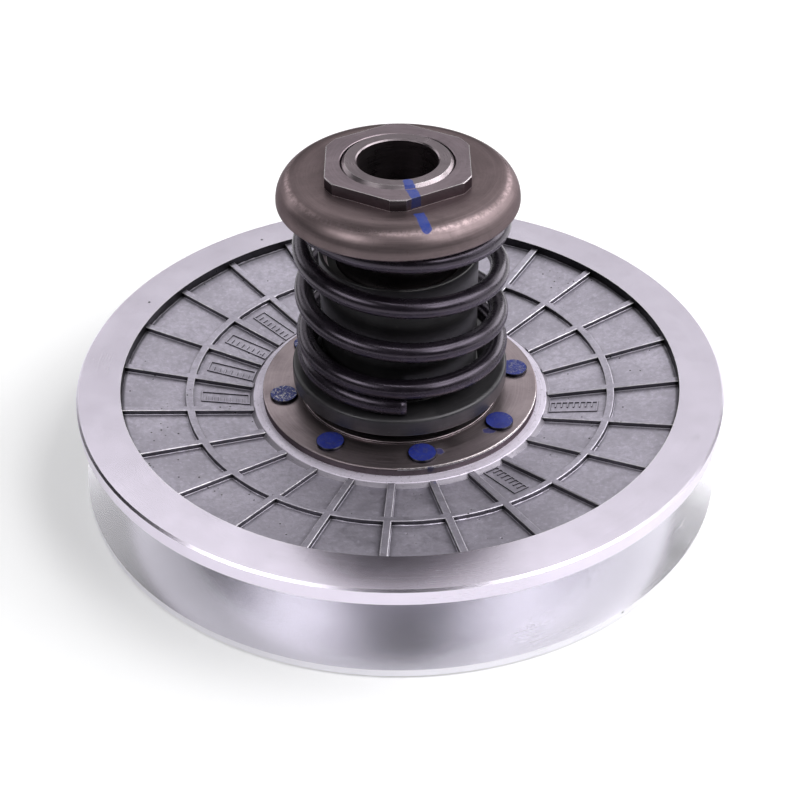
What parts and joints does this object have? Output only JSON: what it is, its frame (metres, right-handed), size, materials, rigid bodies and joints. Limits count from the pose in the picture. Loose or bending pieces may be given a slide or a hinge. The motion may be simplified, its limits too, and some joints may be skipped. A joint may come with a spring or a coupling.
{
  "type": "driven pulley",
  "caption": "Spring-loaded driven V-belt pulley with one fixed and one sliding cast sheave on a hollow splined shaft, for a continuously variable drive.",
  "frame": {"origin": "centre of the fixed sheave's back plane, on the shaft's axis, where the part rests", "axes": "+Z along the shaft towards its threaded end; a flat of the lock nut faces +X"},
  "size_m": [0.212, 0.212, 0.1127],
  "materials": {
    "cast_aluminium": "cast web with turned rim and groove faces",
    "shaft_steel": "ground",
    "flange_steel": "turned, oiled",
    "rivet_steel": "satin",
    "rivet_blue": "marking paint",
    "spring_black": "glossy black",
    "seat_black": "satin black",
    "cap_steel": "satin phosphated",
    "nut_steel": "satin",
    "pin_steel": "ground",
    "bush_bronze": "satin",
    "seal_rubber": "matte"
  },
  "bodies": {
    "fixed_half": {"fixed_sheave": "cast_aluminium", "driven_shaft": "shaft_steel", "fixed_sheave_rivets": "rivet_steel", "guide_pin_1": "pin_steel", "guide_pin_2": "pin_steel", "guide_pin_3": "pin_steel", "guide_pin_4": "pin_steel", "upper_spring_seat": "cap_steel", "lock_nut": "nut_steel", "compression_spring": "spring_black"},
    "spring_carriage": {"lower_spring_seat": "seat_black"},
    "sliding_half": {"sliding_sheave": "cast_aluminium", "sliding_hub": "flange_steel", "sliding_sheave_rivets": "rivet_blue", "lower_bush": "bush_bronze", "upper_bush": "bush_bronze", "lower_oil_seal": "seal_rubber", "upper_oil_seal": "seal_rubber", "lower_o_ring": "seal_rubber", "upper_o_ring": "seal_rubber"}
  },
  "joints": [
    {"name": "sheave_slide", "type": "slide", "parent": "fixed_half", "child": "spring_carriage", "axis": [0, 0, 1], "range_m": [0, 0.02], "stiffness_N_per_m": 4000, "springref_m": -0.01, "deforming": ["compression_spring"]},
    {"name": "sheave_turn", "type": "hinge", "parent": "spring_carriage", "child": "sliding_half", "pos_m": [0, 0, 0], "axis": [0, 0, 1], "range_deg": [0, 51.06]}
  ],
  "couplings": [
    {"joint": "sheave_turn", "follows": "sheave_slide", "rad_per_m": 44.543}
  ]
}
